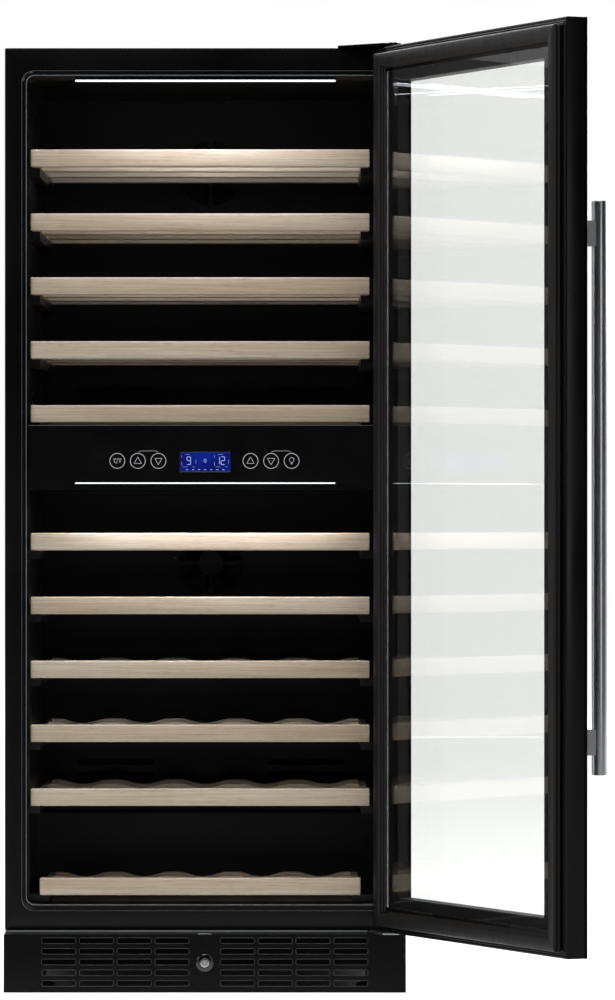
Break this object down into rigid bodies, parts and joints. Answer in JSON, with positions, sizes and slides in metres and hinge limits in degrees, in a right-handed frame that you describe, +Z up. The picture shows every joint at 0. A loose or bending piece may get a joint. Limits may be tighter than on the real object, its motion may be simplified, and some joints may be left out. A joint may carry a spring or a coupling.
{
  "type": "wine cooler",
  "caption": "Freestanding wine cooler with a hinged glass door and bar handle, sliding beech shelves in separate temperature zones, a touch control panel and a vented, lockable plinth.",
  "frame": {"origin": "on the floor, on the cabinet's centre line, under the front plane of the cabinet's front frame", "axes": "+Z up; +Y from the front of the cabinet to its back, so a user stands on the -Y side; +X to the user's right, the side that the door is hinged on"},
  "size_m": [0.8682, 1.1364, 1.4056],
  "materials": {
    "cabinet_black": "satin",
    "frame_black": "satin",
    "liner_black": "satin",
    "insulation": "matte",
    "zinc_sheet": "satin",
    "control_gloss": "gloss",
    "display_blue": "gloss",
    "light_lens": "satin",
    "circuit_board": "satin",
    "beech": "satin",
    "fan_plastic": "satin",
    "evaporator_aluminium": "satin",
    "compressor_black": "satin",
    "condenser_tube": "satin",
    "brushed_steel": "satin",
    "door_glass": "gloss",
    "gasket_rubber": "matte",
    "foot_rubber": "matte"
  },
  "bodies": {
    "cabinet": {"left_side_panel": "cabinet_black", "right_side_panel": "cabinet_black", "top_panel": "cabinet_black", "toe_kick": "cabinet_black", "front_frame": "frame_black", "inner_liner": "liner_black", "left_rails": "liner_black", "right_rails": "liner_black", "zone_divider": "liner_black", "upper_duct_panel": "liner_black", "lower_duct_panel": "liner_black", "power_inlet": "liner_black", "foam_insulation": "insulation", "back_panel": "zinc_sheet", "bottom_panel": "zinc_sheet", "base_tray": "zinc_sheet", "bay_cover": "zinc_sheet", "fan_bracket": "zinc_sheet", "upper_hinge": "zinc_sheet", "lower_hinge": "zinc_sheet", "control_panel": "control_gloss", "lock_escutcheon": "control_gloss", "display_window": "display_blue", "upper_light": "light_lens", "lower_light": "light_lens", "control_board": "circuit_board", "upper_evaporator": "evaporator_aluminium", "lower_evaporator": "evaporator_aluminium", "compressor": "compressor_black", "condenser_coil": "condenser_tube", "upper_hinge_pin": "brushed_steel", "lower_hinge_pin": "brushed_steel"},
    "door": {"door_frame": "frame_black", "outer_glass": "door_glass", "inner_glass": "door_glass", "glazing_spacer": "evaporator_aluminium", "door_gasket": "gasket_rubber", "handle_bar": "brushed_steel", "upper_handle_post": "brushed_steel", "lower_handle_post": "brushed_steel"},
    "shelf_01": {"shelf_01": "beech"},
    "shelf_02": {"shelf_02": "beech"},
    "shelf_03": {"shelf_03": "beech"},
    "shelf_04": {"shelf_04": "beech"},
    "shelf_05": {"shelf_05": "beech"},
    "shelf_06": {"shelf_06": "beech"},
    "shelf_07": {"shelf_07": "beech"},
    "shelf_08": {"shelf_08": "beech"},
    "shelf_09": {"shelf_09": "beech"},
    "shelf_10": {"shelf_10": "beech"},
    "shelf_11": {"shelf_11": "beech"},
    "upper_fan": {"upper_fan": "fan_plastic"},
    "lower_fan": {"lower_fan": "fan_plastic"},
    "condenser_fan": {"condenser_fan": "fan_plastic"},
    "lock_barrel": {"lock_barrel": "brushed_steel"},
    "lock_bolt": {"lock_bolt": "brushed_steel"},
    "foot_front_left": {"foot_front_left": "foot_rubber"},
    "foot_front_right": {"foot_front_right": "foot_rubber"},
    "foot_back_left": {"foot_back_left": "foot_rubber"},
    "foot_back_right": {"foot_back_right": "foot_rubber"}
  },
  "joints": [
    {"name": "door_swing", "type": "hinge", "parent": "cabinet", "child": "door", "pos_m": [0.279, -0.0343, 0.744], "axis": [0, 0, 1], "range_deg": [-116, 9]},
    {"name": "shelf_01_slide", "type": "slide", "parent": "cabinet", "child": "shelf_01", "axis": [0, -1, 0], "range_m": [0, 0.3]},
    {"name": "shelf_02_slide", "type": "slide", "parent": "cabinet", "child": "shelf_02", "axis": [0, -1, 0], "range_m": [0, 0.3]},
    {"name": "shelf_03_slide", "type": "slide", "parent": "cabinet", "child": "shelf_03", "axis": [0, -1, 0], "range_m": [0, 0.3]},
    {"name": "shelf_04_slide", "type": "slide", "parent": "cabinet", "child": "shelf_04", "axis": [0, -1, 0], "range_m": [0, 0.3]},
    {"name": "shelf_05_slide", "type": "slide", "parent": "cabinet", "child": "shelf_05", "axis": [0, -1, 0], "range_m": [0, 0.3]},
    {"name": "shelf_06_slide", "type": "slide", "parent": "cabinet", "child": "shelf_06", "axis": [0, -1, 0], "range_m": [0, 0.3]},
    {"name": "shelf_07_slide", "type": "slide", "parent": "cabinet", "child": "shelf_07", "axis": [0, -1, 0], "range_m": [0, 0.3]},
    {"name": "shelf_08_slide", "type": "slide", "parent": "cabinet", "child": "shelf_08", "axis": [0, -1, 0], "range_m": [0, 0.3]},
    {"name": "shelf_09_slide", "type": "slide", "parent": "cabinet", "child": "shelf_09", "axis": [0, -1, 0], "range_m": [0, 0.3]},
    {"name": "shelf_10_slide", "type": "slide", "parent": "cabinet", "child": "shelf_10", "axis": [0, -1, 0], "range_m": [0, 0.3]},
    {"name": "shelf_11_slide", "type": "slide", "parent": "cabinet", "child": "shelf_11", "axis": [0, -1, 0], "range_m": [0, 0.18]},
    {"name": "upper_fan_spin", "type": "hinge", "parent": "cabinet", "child": "upper_fan", "pos_m": [0, 0.504, 1.244], "axis": [0, 1, 0], "continuous": true},
    {"name": "lower_fan_spin", "type": "hinge", "parent": "cabinet", "child": "lower_fan", "pos_m": [0, 0.504, 0.6309], "axis": [0, 1, 0], "continuous": true},
    {"name": "condenser_fan_spin", "type": "hinge", "parent": "cabinet", "child": "condenser_fan", "pos_m": [-0.1071, 0.37, 0.113], "axis": [0, 1, 0], "continuous": true},
    {"name": "lock_turn", "type": "hinge", "parent": "cabinet", "child": "lock_barrel", "pos_m": [0, -0.0323, 0.044], "axis": [0, -1, 0], "range_deg": [0, 90]},
    {"name": "lock_bolt_slide", "type": "slide", "parent": "cabinet", "child": "lock_bolt", "axis": [0, 0, 1], "range_m": [0, 0.008]},
    {"name": "foot_front_left_screw", "type": "slide", "parent": "cabinet", "child": "foot_front_left", "axis": [0, 0, -1], "range_m": [0, 0.02]},
    {"name": "foot_front_right_screw", "type": "slide", "parent": "cabinet", "child": "foot_front_right", "axis": [0, 0, -1], "range_m": [0, 0.02]},
    {"name": "foot_back_left_screw", "type": "slide", "parent": "cabinet", "child": "foot_back_left", "axis": [0, 0, -1], "range_m": [0, 0.02]},
    {"name": "foot_back_right_screw", "type": "slide", "parent": "cabinet", "child": "foot_back_right", "axis": [0, 0, -1], "range_m": [0, 0.02]}
  ],
  "couplings": [
    {"joint": "lock_turn", "follows": "lock_bolt_slide", "rad_per_m": 196.3}
  ]
}
